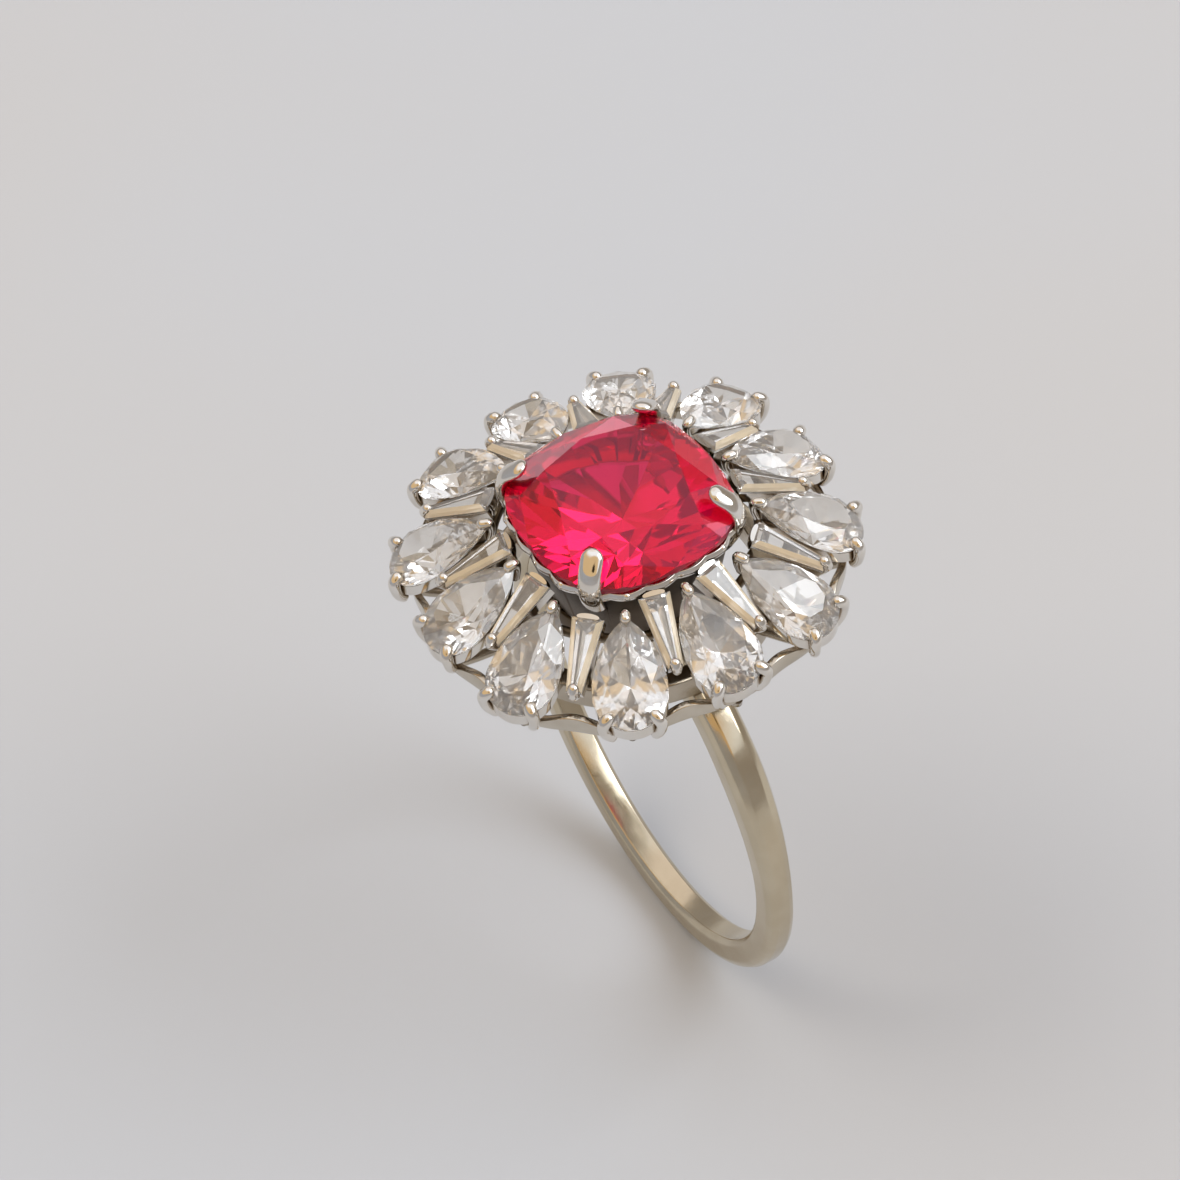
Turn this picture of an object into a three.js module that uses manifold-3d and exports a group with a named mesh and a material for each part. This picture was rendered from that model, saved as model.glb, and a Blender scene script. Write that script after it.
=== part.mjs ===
// Cocktail ring: a cushion-cut stone in four claws, inside a sloping halo of pears and tapered
// baguettes, on a plain band. Millimetres, +Z up, z = 0 at the lowest point of the band.
// The finger goes along Y; the band's hoop lies in the XZ plane.
import * as THREE from "three";
import { ConvexGeometry } from "three/addons/geometries/ConvexGeometry.js";
import { mergeVertices } from "three/addons/utils/BufferGeometryUtils.js";
import Module from "manifold-3d";

const wasm = await Module();
wasm.setup();

const rad = THREE.MathUtils.degToRad;
const lerp = THREE.MathUtils.lerp;
const smoothstep = THREE.MathUtils.smoothstep;

// ---- driving dimensions ----------------------------------------------------------------------

const FIT = 0.02; // gap left at every soldered or seated joint

// Band
const BORE_RADIUS = 8.65;
const BAND_THICKNESS = { palm: 1.3, shoulder: 1.5, top: 1.1 };
const BAND_WIDTH = { palm: 1.2, shoulder: 1.55, top: 1.4 };
const HOOP_Z = BORE_RADIUS + BAND_THICKNESS.palm;

// Head: HALO_Z is the height of the outer claw tips, and other heights are measured from it
const HALO_Z = HOOP_Z + 11.34;
const HALO_TILT = rad(26);
const PEAR_COUNT = 12;
const PEAR_STEP = 360 / PEAR_COUNT;
const CORNER_SPREAD = 0.72; // degrees that the pears beside a centre claw move away from it
const SIDE_PEAR = { radius: 6.67, height: 0.82 };
const CORNER_PEAR = { radius: 7.04, height: 0.66 };
const SIDE_BAGUETTE = { radius: 5.77, height: 1.22 };
const CORNER_BAGUETTE = { radius: 6.46, height: 0.92 };

// Stones
const CENTRE = {
  halfX: 4.14, halfY: 3.96, roundness: 2.75, girdleHeight: 2.39, girdle: 0.3,
  crown: 1.04, pavilion: 3.4, table: 0.64, star: 0.52, lower: 0.72,
};
const PEAR = {
  length: 4.36, width: 2.84, girdle: 0.12, crown: 0.46, pavilion: 1.12,
  table: 0.58, star: 0.55, lower: 0.72, culetX: 0.45,
};
const BAGUETTE = {
  length: 2.9, wide: 1.24, narrow: 0.6, girdle: 0.1, crown: 0.22, pavilion: 0.62,
};

// Settings
const PEAR_WALL = { thickness: 0.3, height: 0.6 };
const PEAR_CLAW = { radius: 0.22, tip: 0.25, angle: rad(42.5) };
const TIP_CLAW = { radius: 0.15, tip: 0.21 };
const BAGUETTE_WALL = { thickness: 0.22, height: 0.55 };
const BAGUETTE_CLAW = { radius: 0.15, tip: 0.22 };
const BAGUETTE_LIP = { halfWidth: 0.44, flat: 0.3 };
const CENTRE_CLAW = { halfWidth: 0.42, halfDepth: 0.23, tip: 0.45 };
const RIM_SCALLOP = { count: 20, depth: 0.035 };
const RIM_BEAD = { radius: 0.18, offset: rad(28) };
const BASKET_CUP = { upper: 0.93, lower: 0.76, thickness: 0.07 }; // shares of the cushion
const BASKET_FOOT = { inner: 2.5, outer: 3.35, top: -1.2, bottom: -2 };

// Rails
const OUTER_RAIL = {
  radius: 8.08, bottom: -1.4, thickness: 0.3, tall: 0.76, low: 0.34, dip: 0.06, corner: 0.12,
  tuck: 0.16,
};
const INNER_RAIL = { radius: 5.08, height: 0.44, thickness: 0.34, tall: 0.36 };
const STRUT_RADIUS = 0.2;
const BASE_RAIL = { radius: 5.3, bottom: -3.0, top: -1.95, thickness: 0.8, edge: 0.12 };

// ---- materials -------------------------------------------------------------------------------

const metal = (name, colour) =>
  new THREE.MeshStandardMaterial({ name, color: colour, metalness: 1, roughness: 0.15 });
const stone = (name, colour) =>
  new THREE.MeshStandardMaterial({ name, color: colour, metalness: 0, roughness: 0.02 });
const BAND_METAL = metal("plated_silver", 0xc9c6bf);
const SETTING_METAL = metal("plated_silver_setting", 0xd2d0cc);
const RED_STONE = stone("red_stone", 0xb0183c);
const CLEAR_STONE = stone("clear_stone", 0xe6e6ea);

// ---- solids ----------------------------------------------------------------------------------

const SIDEWAYS = new THREE.Vector3(0, 1, 0);

// Equally spaced directions round a full turn, the first at start degrees.
const turn = (count, start = 0) =>
  Array.from({ length: count }, (_, i) => rad(start + (i * 360) / count));

function toSolid(geometry) {
  const bare = geometry.clone();
  bare.deleteAttribute("normal");
  bare.deleteAttribute("uv");
  const welded = mergeVertices(bare, 1e-4);
  return new wasm.Manifold(
    new wasm.Mesh({
      numProp: 3,
      vertProperties: new Float32Array(welded.attributes.position.array),
      triVerts: new Uint32Array(welded.index.array),
    }),
  );
}

function toGeometry(solid) {
  const mesh = solid.getMesh();
  const geometry = new THREE.BufferGeometry();
  geometry.setAttribute("position", new THREE.BufferAttribute(mesh.vertProperties, 3));
  geometry.setIndex(new THREE.BufferAttribute(mesh.triVerts, 1));
  return geometry;
}

const join = (geometries) =>
  geometries.map(toSolid).reduce((whole, next) => whole.add(next));

// Moves every vertex of a geometry by a function that edits the vector it is given.
function bend(geometry, move) {
  const places = geometry.attributes.position;
  const p = new THREE.Vector3();
  for (let i = 0; i < places.count; i += 1) {
    p.fromBufferAttribute(places, i);
    move(p);
    places.setXYZ(i, p.x, p.y, p.z);
  }
  return geometry;
}

// A solid ring round Z whose section, a list of [radius, z], closes on itself.
function ringGeometry(section, segments) {
  const points = section.map(([r, z]) => new THREE.Vector2(r, z));
  points.push(points[0].clone());
  return new THREE.LatheGeometry(points, segments).rotateX(Math.PI / 2);
}

// A round bar turned to a profile of [radius, distance along], then bent to follow a smooth
// curve. side is the direction square to the curve's plane; flat thins the bar in that plane.
function bentBar(points, profileAt, { side = SIDEWAYS, sides = 6, flat = 1 } = {}) {
  const path = new THREE.CatmullRomCurve3(points);
  const length = path.getLength();
  const profile = profileAt(length).map(([r, s]) => new THREE.Vector2(r, s));
  return bend(new THREE.LatheGeometry(profile, sides), (p) => {
    const share = THREE.MathUtils.clamp(p.y / length, 0, 1);
    const tangent = path.getTangentAt(share);
    const across = new THREE.Vector3().crossVectors(side, tangent).normalize();
    const beyond = p.y - share * length;
    const [x, z] = [p.x, p.z * flat];
    p.copy(path.getPointAt(share)).addScaledVector(tangent, beyond)
      .addScaledVector(side, x).addScaledVector(across, z);
  });
}

// A plain bar with square ends.
const plainBar = (radius) => (length) =>
  [[0, 0], [radius, 0], [radius, length / 2], [radius, length], [0, length]];

// A claw: rounded at the foot, and swelling to a round tip centred on the end of its curve.
const clawBar = (radius, tip) => (length) => [
  [0, -radius], [0.8 * radius, -0.6 * radius], [radius, 0.1], [radius, 0.4 * length],
  [radius, 0.62 * length], [radius, length - 1.3 * tip], [0.97 * tip, length - 0.3 * tip],
  [0.86 * tip, length + 0.5 * tip], [0, length + tip],
];

const ball = (centre, radius, around, up) =>
  new THREE.SphereGeometry(radius, around, up).translate(centre.x, centre.y, centre.z);

// A stone's shape made a little larger, to clear the metal round it.
const enlarged = (geometry) => geometry.clone().scale(1 + FIT / 2, 1 + FIT / 2, 1 + FIT / 2);

// ---- faceted stones --------------------------------------------------------------------------

const plane = (normal, point) => {
  const n = normal.clone().normalize();
  return { n, d: n.dot(point) };
};

// The plane through three points, facing away from the middle of the stone.
function facet(a, b, c, middle) {
  const n = new THREE.Vector3().crossVectors(b.clone().sub(a), c.clone().sub(a)).normalize();
  if (n.dot(middle) > n.dot(a)) n.negate();
  return plane(n, a);
}

// Where three planes meet.
function corner(p, q, r) {
  const qr = new THREE.Vector3().crossVectors(q.n, r.n);
  const size = p.n.dot(qr);
  if (Math.abs(size) < 1e-7) return null;
  const rp = new THREE.Vector3().crossVectors(r.n, p.n);
  const pq = new THREE.Vector3().crossVectors(p.n, q.n);
  return qr.multiplyScalar(p.d).add(rp.multiplyScalar(q.d)).add(pq.multiplyScalar(r.d))
    .divideScalar(size);
}

// The stone left when every plane has cut its side away.
function cutStone(planes) {
  const corners = [];
  for (let i = 0; i < planes.length; i += 1)
    for (let j = i + 1; j < planes.length; j += 1)
      for (let k = j + 1; k < planes.length; k += 1) {
        const p = corner(planes[i], planes[j], planes[k]);
        if (!p || p.length() > 20) continue;
        if (planes.some(({ n, d }) => n.dot(p) > d + 1e-5)) continue;
        if (corners.some((c) => c.distanceTo(p) < 4e-3)) continue;
        corners.push(p);
      }
  return new ConvexGeometry(corners);
}

// A brilliant cut on any rounded outline. outline(a) gives the point of the outline that faces
// direction a; mains are the directions of the main facets, mids those of the points between.
// Without mids it has the table and main facets only.
function brilliantCut({ outline, mains, mids, size, culet, middle }) {
  const top = size.girdle / 2;
  const crownTop = top + size.crown;
  const pavilionEnd = -top - size.pavilion;
  const inside = new THREE.Vector3(middle.x, middle.y, 0);
  const at = (a, z) => new THREE.Vector3(outline(a).x, outline(a).y, z);
  const along = (a) => new THREE.Vector3(-Math.sin(a), Math.cos(a), 0);

  const tablePoint = (a) => {
    const edge = at(a, crownTop);
    return new THREE.Vector3(
      lerp(middle.x, edge.x, size.table), lerp(middle.y, edge.y, size.table), crownTop,
    );
  };
  const crownMain = (a) => facet(at(a, top), at(a, top).add(along(a)), tablePoint(a), inside);
  const culetPoint = new THREE.Vector3(culet, 0, pavilionEnd);
  const pavilionMain = (a) =>
    facet(at(a, -top), at(a, -top).add(along(a)), culetPoint, inside);
  const level = (z) => ({ n: new THREE.Vector3(0, 0, 1), d: z });

  const planes = [level(crownTop)];
  mains.forEach((a, i) => {
    const b = mains[(i + 1) % mains.length];
    planes.push(crownMain(a), pavilionMain(a));
    if (!mids) return;
    const mid = mids[i];
    const star = corner(crownMain(a), crownMain(b), level(top + size.star * size.crown));
    const lower = corner(
      pavilionMain(a), pavilionMain(b), level(-top - size.lower * size.pavilion),
    );
    planes.push(facet(tablePoint(a), tablePoint(b), star, inside));
    for (const end of [a, b]) {
      if (at(end, 0).distanceTo(at(mid, 0)) < 1e-3) continue;
      planes.push(facet(star, at(end, top), at(mid, top), inside));
      planes.push(facet(lower, at(end, -top), at(mid, -top), inside));
    }
  });
  return planes;
}

// Upright planes that shape the girdle.
const girdlePlanes = (outline, directions) =>
  directions.map((a) => plane(new THREE.Vector3(Math.cos(a), Math.sin(a), 0), outline(a)));

// ---- centre stone ----------------------------------------------------------------------------

// The point of the cushion outline that faces direction a.
function cushionPoint(a, halfX = CENTRE.halfX, halfY = CENTRE.halfY) {
  const power = 1 / (CENTRE.roundness - 1);
  const u = Math.pow(Math.abs(Math.cos(a)) * halfX, power);
  const v = Math.pow(Math.abs(Math.sin(a)) * halfY, power);
  const norm = Math.pow(u ** CENTRE.roundness + v ** CENTRE.roundness, 1 / CENTRE.roundness);
  return new THREE.Vector3(
    (Math.sign(Math.cos(a)) * halfX * u) / norm, (Math.sign(Math.sin(a)) * halfY * v) / norm, 0,
  );
}

// Distance from the middle to the cushion outline in the direction a.
function cushionRadius(a, halfX = CENTRE.halfX, halfY = CENTRE.halfY) {
  const e = CENTRE.roundness;
  const u = Math.abs(Math.cos(a) / halfX) ** e;
  const v = Math.abs(Math.sin(a) / halfY) ** e;
  return (u + v) ** (-1 / e);
}

function centreStoneGeometry(mids, rimCount) {
  const planes = brilliantCut({
    outline: cushionPoint, mains: turn(8), mids, size: CENTRE, culet: 0,
    middle: new THREE.Vector3(),
  });
  return cutStone([...planes, ...girdlePlanes(cushionPoint, turn(rimCount))]);
}

// ---- pear stones -----------------------------------------------------------------------------

// A pear outline: a round head on +X, two long arcs, and a pointed tip on -X.
const PEAR_HEAD = PEAR.width / 2;
const PEAR_HEAD_X = PEAR.length / 2 - PEAR_HEAD;
const PEAR_REACH = PEAR_HEAD_X + PEAR.length / 2;
const PEAR_SIDE = (PEAR_REACH ** 2 + PEAR_HEAD ** 2) / (2 * PEAR_HEAD);
const PEAR_TIP_ANGLE = Math.acos(-PEAR_REACH / PEAR_SIDE);

function pearPoint(direction) {
  const a = Math.atan2(Math.sin(direction), Math.cos(direction));
  const side = Math.sign(a) || 1;
  if (Math.abs(a) >= PEAR_TIP_ANGLE) return new THREE.Vector3(-PEAR.length / 2, 0, 0);
  const onHead = Math.abs(a) <= Math.PI / 2;
  const radius = onHead ? PEAR_HEAD : PEAR_SIDE;
  const centreY = onHead ? 0 : -side * (PEAR_SIDE - PEAR_HEAD);
  return new THREE.Vector3(
    PEAR_HEAD_X + radius * Math.cos(a), centreY + radius * Math.sin(a), 0,
  );
}

const PEAR_MAINS = [0, 45, 90, 122, 180, -122, -90, -45].map(rad);
const PEAR_MIDS = [22.5, 67.5, 106, 150, -150, -106, -67.5, -22.5].map(rad);
const PEAR_RIM = [0, 22.5, 45, 67.5, 90, 106, 122, 138].map(rad);

function pearStoneGeometry(mids) {
  const planes = brilliantCut({
    outline: pearPoint, size: PEAR, culet: PEAR.culetX, mains: PEAR_MAINS, mids,
    middle: new THREE.Vector3(PEAR.culetX, 0, 0),
  });
  const rim = mids ? PEAR_RIM : PEAR_RIM.filter((_, i) => i % 2 === 0);
  return cutStone([
    ...planes, ...girdlePlanes(pearPoint, [...rim, ...rim.slice(1).map((a) => -a)]),
  ]);
}

// ---- tapered baguette stones -----------------------------------------------------------------

// How much the half width grows for each millimetre towards the wide end, which is on -X.
const BAGUETTE_SLOPE = (BAGUETTE.wide - BAGUETTE.narrow) / 2 / BAGUETTE.length;

// The four side directions of the tapered outline, each with a point of its edge.
function baguetteSides() {
  const half = BAGUETTE.length / 2;
  const end = (x) => ({ n: new THREE.Vector3(x, 0, 0), at: new THREE.Vector3(x * half, 0, 0) });
  const flank = (y) => ({
    n: new THREE.Vector3(BAGUETTE_SLOPE, y, 0),
    at: new THREE.Vector3(half, (y * BAGUETTE.narrow) / 2, 0),
  });
  return [end(1), end(-1), flank(1), flank(-1)];
}

function baguetteStoneGeometry() {
  const top = BAGUETTE.girdle / 2;
  const planes = [
    { n: new THREE.Vector3(0, 0, 1), d: top + BAGUETTE.crown },
    { n: new THREE.Vector3(0, 0, -1), d: top + BAGUETTE.pavilion },
  ];
  // Each step is a bevel with its own slope that begins at a height, inset from the outline.
  const steps = [
    { slope: rad(55), inset: 0, z: top },
    { slope: rad(40), inset: 0.08, z: top + 0.114 },
    { slope: rad(-60), inset: 0, z: -top },
    { slope: rad(-42), inset: 0.16, z: -top - 0.277 },
  ];
  for (const { n, at } of baguetteSides()) {
    const out = n.clone().normalize();
    planes.push(plane(out, at));
    for (const { slope, inset, z } of steps) {
      const normal = out.clone().multiplyScalar(Math.sin(Math.abs(slope)));
      normal.z = Math.sign(slope) * Math.cos(slope);
      planes.push(plane(normal, at.clone().addScaledVector(out, -inset).setZ(z)));
    }
  }
  return cutStone(planes);
}

// ---- pear settings ---------------------------------------------------------------------------

// Below the girdle a setting goes straight down in the ring, so in the stone's tilted frame it
// leans outward.
function leanDown(p) {
  if (p.z < 0) p.x -= p.z * Math.tan(HALO_TILT);
}

// Distance from the pear's middle to its outline in the polar direction a: the ray meets either
// the circle of the head or the circle of one long side.
function pearRadius(a) {
  const [x, y] = [Math.cos(a), Math.abs(Math.sin(a))];
  const onHead = PEAR_HEAD_X * x + Math.sqrt(PEAR_HEAD ** 2 - (PEAR_HEAD_X * y) ** 2);
  if (onHead * x >= PEAR_HEAD_X) return onHead;
  const drop = PEAR_SIDE - PEAR_HEAD;
  const along = PEAR_HEAD_X * x - drop * y;
  return along + Math.sqrt(along ** 2 + PEAR_SIDE ** 2 - PEAR_HEAD_X ** 2 - drop ** 2);
}

function pearWallGeometry() {
  const inner = 1 - PEAR_WALL.thickness / PEAR_HEAD;
  const seat = -PEAR.girdle / 2 - FIT;
  const section = [
    [0.985, seat], [inner, seat - PEAR_WALL.thickness * 1.15],
    [inner, -PEAR_WALL.height], [0.97, -PEAR_WALL.height],
  ];
  return bend(ringGeometry(section, 20), (p) => {
    const a = Math.atan2(p.y, p.x);
    const reach = Math.hypot(p.x, p.y) * pearRadius(a);
    p.set(reach * Math.cos(a), reach * Math.sin(a), p.z);
    leanDown(p);
  });
}

// A claw that rises outside the head of the pear and folds over its edge. side is +1 or -1.
function pearClaw(side) {
  const out = new THREE.Vector3(Math.cos(PEAR_CLAW.angle), side * Math.sin(PEAR_CLAW.angle), 0);
  const edge = new THREE.Vector3(PEAR_HEAD_X, 0, 0).addScaledVector(out, PEAR_HEAD);
  const place = ([away, z]) => {
    const p = edge.clone().addScaledVector(out, away);
    p.z = z;
    leanDown(p);
    return p;
  };
  const spine = [[-0.16, -0.86], [0.08, -0.5], [0.2, -0.08], [0.1, 0.17], [-0.1, 0.22]]
    .map(place);
  const along = new THREE.Vector3(-out.y, out.x, 0);
  return bentBar(spine, clawBar(PEAR_CLAW.radius, PEAR_CLAW.tip), { side: along });
}

function tipClaw() {
  const x = -PEAR.length / 2;
  const spine = [[-0.02, -0.55], [-0.14, -0.2], [-0.12, 0.1], [0.12, 0.22]]
    .map(([dx, z]) => new THREE.Vector3(x + dx, 0, z));
  spine.forEach(leanDown);
  return bentBar(spine, clawBar(TIP_CLAW.radius, TIP_CLAW.tip), { sides: 5 });
}

function pearSettingGeometry() {
  const claws = join([pearClaw(1), pearClaw(-1), tipClaw()]);
  const cut = claws.subtract(toSolid(enlarged(pearStoneGeometry(null))));
  return toGeometry(cut.add(toSolid(pearWallGeometry())));
}

// ---- baguette settings -----------------------------------------------------------------------

// The corners of the tapered outline, drawn in by an inset all round.
function baguetteOutline(inset) {
  const end = BAGUETTE.length / 2;
  const half = end - inset;
  const widthAt = (x) => BAGUETTE.narrow / 2 + (end - x) * BAGUETTE_SLOPE - inset;
  return [[half, 1], [-half, 1], [-half, -1], [half, -1]]
    .map(([x, side]) => new THREE.Vector2(x, side * widthAt(x)));
}

function baguetteSettingGeometry(stoneGeometry) {
  const { thickness, height } = BAGUETTE_WALL;
  const frame = new THREE.Shape(baguetteOutline(FIT));
  frame.holes.push(new THREE.Path(baguetteOutline(thickness)));
  const walls = new THREE.ExtrudeGeometry(frame, { depth: height, bevelEnabled: false })
    .translate(0, 0, -height);
  const end = BAGUETTE.length / 2;
  const spineFrom = (x, list) => list.map(([dx, z]) => new THREE.Vector3(x + dx, 0, z));
  const claw = spineFrom(end, [[-0.06, -0.5], [0.08, -0.2], [0.1, 0.1], [-0.1, 0.24]]);
  const lip = spineFrom(-end, [[0.1, -0.5], [-0.06, -0.2], [-0.05, 0.1]]);
  const held = join([
    bentBar(claw, clawBar(BAGUETTE_CLAW.radius, BAGUETTE_CLAW.tip), { sides: 5 }),
    bentBar(lip, plainBar(BAGUETTE_LIP.halfWidth), { flat: BAGUETTE_LIP.flat }),
    walls,
  ]);
  return toGeometry(held.subtract(toSolid(enlarged(stoneGeometry))));
}

// ---- centre basket ---------------------------------------------------------------------------

// A claw that climbs from the basket's foot, passes outside the girdle and folds over the crown.
function centreClaw(direction) {
  const edge = cushionRadius(direction);
  const foot = (BASKET_FOOT.inner + BASKET_FOOT.outer) / 2;
  const level = CENTRE.girdleHeight;
  const spine = [
    [foot, -1.5], [3.2, -0.1], [edge - 0.25, 1.2],
    [edge + CENTRE_CLAW.halfDepth - 0.07, level - 0.15],
    [edge + 0.02, level + 0.66], [edge - 0.52, level + 1.1],
  ].map(([r, z]) => new THREE.Vector3(r, 0, z));
  return bentBar(spine, clawBar(CENTRE_CLAW.halfWidth, CENTRE_CLAW.tip), {
    sides: 8, flat: CENTRE_CLAW.halfDepth / CENTRE_CLAW.halfWidth,
  }).rotateZ(direction);
}

// A rail that follows the cushion, with its section given as [share of the outline, height].
const cushionRail = (section, segments = 40, scallop = 0) =>
  bend(ringGeometry(section, segments), (p) => {
    const a = Math.atan2(p.y, p.x);
    const wave = 1 + scallop * Math.abs(Math.sin((RIM_SCALLOP.count / 2) * a));
    const reach = Math.hypot(p.x, p.y) * cushionRadius(a) * wave;
    p.set(reach * Math.cos(a), reach * Math.sin(a), p.z);
  });

function centreBasketGeometry(bandRoom) {
  const rimTop = CENTRE.girdleHeight - CENTRE.girdle / 2 - FIT;
  const upperRim = cushionRail([
    [0.985, rimTop], [0.9, rimTop - 0.36], [0.92, rimTop - 0.46], [0.99, rimTop - 0.4],
    [1.01, rimTop - 0.18],
  ], 4 * RIM_SCALLOP.count, RIM_SCALLOP.depth);
  const { inner, outer, top, bottom } = BASKET_FOOT;
  const cupTop = rimTop - 0.38;
  const cupWall = (share, z) =>
    [[share + BASKET_CUP.thickness / 2, z], [share - BASKET_CUP.thickness / 2, z]];
  const cup = cushionRail([
    ...cupWall(BASKET_CUP.upper, cupTop), ...cupWall(BASKET_CUP.lower, top - 0.1).reverse(),
  ]);
  const foot = ringGeometry([[outer, top], [inner, top], [inner, bottom], [outer, bottom]], 24);
  const pairRound = (a) => [a - RIM_BEAD.offset, a + RIM_BEAD.offset];
  const beads = turn(4).flatMap(pairRound).map((a) => {
    const r = cushionRadius(a) + RIM_BEAD.radius * 0.2;
    const centre = new THREE.Vector3(r * Math.cos(a), r * Math.sin(a), rimTop - RIM_BEAD.radius);
    return ball(centre, RIM_BEAD.radius, 6, 4);
  });
  const raised = (geometry) => geometry.translate(0, 0, HALO_Z);
  const stoneRoom = enlarged(centreStoneGeometry(null, 16)).translate(0, 0, CENTRE.girdleHeight);
  const held = join([...turn(4, 45).map(centreClaw), ...beads].map(raised))
    .subtract(toSolid(raised(stoneRoom)));
  const saddle = toSolid(raised(foot)).subtract(toSolid(bandRoom));
  return toGeometry(held.add(join([upperRim, cup].map(raised))).add(saddle));
}

// ---- rails of the halo -----------------------------------------------------------------------

// 1 beside the centre claws, -1 at the four sides of the head.
const cornerness = (a) => -Math.cos(4 * a);
// 0 under a pear, 1 beside a baguette, and small until past the pear's claws.
const baguetteness = (a) => ((1 - Math.cos(PEAR_COUNT * a)) / 2) ** 1.6;

// A flat six-sided rail section: thickness across, and from -1 to 1 in height.
function railSection(radius, thickness) {
  const half = thickness / 2;
  return [[half, -0.7], [half, 0.7], [0, 1], [-half, 0.7], [-half, -0.7], [0, -1]]
    .map(([r, z]) => [radius + r, z]);
}

// Where the middle of the outer rail runs at angle a, and how low its bottom edge is there.
const outerRailRadius = (a) =>
  OUTER_RAIL.radius + OUTER_RAIL.corner * cornerness(a) - OUTER_RAIL.tuck * baguetteness(a);
const outerRailBottom = (a) => OUTER_RAIL.bottom - OUTER_RAIL.dip * cornerness(a);

function outerRailGeometry() {
  const section = railSection(OUTER_RAIL.radius, OUTER_RAIL.thickness);
  return bend(ringGeometry(section, 72), (p) => {
    const a = Math.atan2(p.y, p.x);
    const reach = Math.hypot(p.x, p.y) + outerRailRadius(a) - OUTER_RAIL.radius;
    const tall = lerp(OUTER_RAIL.low, OUTER_RAIL.tall, baguetteness(a));
    const z = outerRailBottom(a) + ((p.z + 1) / 2) * tall;
    p.set(reach * Math.cos(a), reach * Math.sin(a), HALO_Z + z);
  });
}

function innerRailGeometry() {
  const section = railSection(INNER_RAIL.radius, INNER_RAIL.thickness);
  return ringGeometry(section, 40)
    .scale(1, 1, INNER_RAIL.tall / 2)
    .translate(0, 0, HALO_Z + INNER_RAIL.height);
}

// The ring that stands on the band, with struts up to the inner and outer rails.
function galleryBaseGeometry(bandRoom) {
  const half = BASE_RAIL.thickness / 2;
  const { bottom, top, edge } = BASE_RAIL;
  const section = [
    [half, bottom], [half, top - edge], [half - edge, top],
    [edge - half, top], [-half, top - edge], [-half, bottom],
  ].map(([r, z]) => [BASE_RAIL.radius + r, z]);
  const parts = [ringGeometry(section, 48)];
  // Posts stand under the gaps between pears. Braces lean out under the pears and turn up to
  // the outer rail.
  const strut = (points) =>
    bentBar(
      points.map(([x, z]) => new THREE.Vector3(x, 0, z)), plainBar(STRUT_RADIUS), { sides: 5 },
    );
  const post = () => strut([
    [BASE_RAIL.radius, top - 0.2], [BASE_RAIL.radius - 0.05, -0.7],
    [INNER_RAIL.radius, INNER_RAIL.height - INNER_RAIL.tall / 2 - FIT],
  ]);
  const brace = (a) => {
    const outerX = outerRailRadius(a);
    const outerZ = outerRailBottom(a);
    return strut([
      [BASE_RAIL.radius, top - 0.25], [lerp(BASE_RAIL.radius, outerX, 0.65), outerZ - 0.6],
      [outerX - 0.12, outerZ - 0.34], [outerX, outerZ - FIT],
    ]);
  };
  for (const a of turn(PEAR_COUNT)) parts.push(brace(a).rotateZ(a));
  for (const a of turn(PEAR_COUNT / 2, PEAR_STEP / 2)) parts.push(post().rotateZ(a));
  const raised = parts.map((geometry) => geometry.translate(0, 0, HALO_Z));
  return toGeometry(join(raised).subtract(toSolid(bandRoom)));
}

// ---- band ------------------------------------------------------------------------------------

// 0 round the palm side, 1 at the shoulders, then on to 2 under the head. lift is how many
// degrees the point is above the middle of the hoop.
function bandStation(angle) {
  const lift = THREE.MathUtils.radToDeg(Math.asin(Math.sin(angle)));
  return smoothstep(lift, -5, 38) + smoothstep(lift, 48, 72);
}

function alongBand(sizes, angle) {
  const station = bandStation(angle);
  return station <= 1
    ? lerp(sizes.palm, sizes.shoulder, station)
    : lerp(sizes.shoulder, sizes.top, station - 1);
}

// The band's section runs from the bore (0) to the outside (1), and across its half width.
function bandGeometry(grow = 0) {
  const halfSection = [[0, 0.7], [0.15, 1], [0.7, 1], [0.9, 0.8], [1, 0.42]];
  const mirrored = halfSection.map(([t, w]) => [t, -w]).reverse();
  const section = [...halfSection, ...mirrored];
  const geometry = ringGeometry(section.map(([t, w]) => [1 + t, w]), 64);
  return bend(geometry, (p) => {
    const angle = Math.atan2(p.y, p.x);
    const share = Math.hypot(p.x, p.y) - 1;
    const thickness = alongBand(BAND_THICKNESS, angle) + 2 * grow;
    const reach = BORE_RADIUS - grow + share * thickness;
    const across = p.z * (alongBand(BAND_WIDTH, angle) / 2 + grow);
    p.set(reach * Math.cos(angle), across, HOOP_Z + reach * Math.sin(angle));
  });
}

// ---- assembly --------------------------------------------------------------------------------

const part = new THREE.Group();
part.name = "cocktail_ring";

function addPiece(name, geometry, material) {
  const piece = new THREE.Mesh(geometry, material);
  piece.name = name;
  part.add(piece);
  return piece;
}

// Puts a piece made in the stone's own frame (X outward, Z out of the table) on the halo.
function placeOnHalo(piece, angle, { radius, height }) {
  piece.position.set(radius * Math.cos(angle), radius * Math.sin(angle), HALO_Z + height);
  piece.rotation.order = "ZYX";
  piece.rotation.set(0, HALO_TILT, angle);
  piece.updateMatrixWorld(true);
  return piece;
}

// Angles in degrees: every third pear is at a side of the head, and the others flank a claw.
function pearSpot(i) {
  const fromCorner = ((i * PEAR_STEP) % 90) - 45;
  const atSide = fromCorner === -45;
  return {
    angle: rad(i * PEAR_STEP + (atSide ? 0 : Math.sign(fromCorner) * CORNER_SPREAD)),
    spot: atSide ? SIDE_PEAR : CORNER_PEAR,
  };
}

function baguetteSpot(i) {
  const facing = (i + 0.5) * PEAR_STEP;
  return { angle: rad(facing), spot: facing % 90 === 45 ? CORNER_BAGUETTE : SIDE_BAGUETTE };
}

const two = (i) => String(i + 1).padStart(2, "0");

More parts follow.
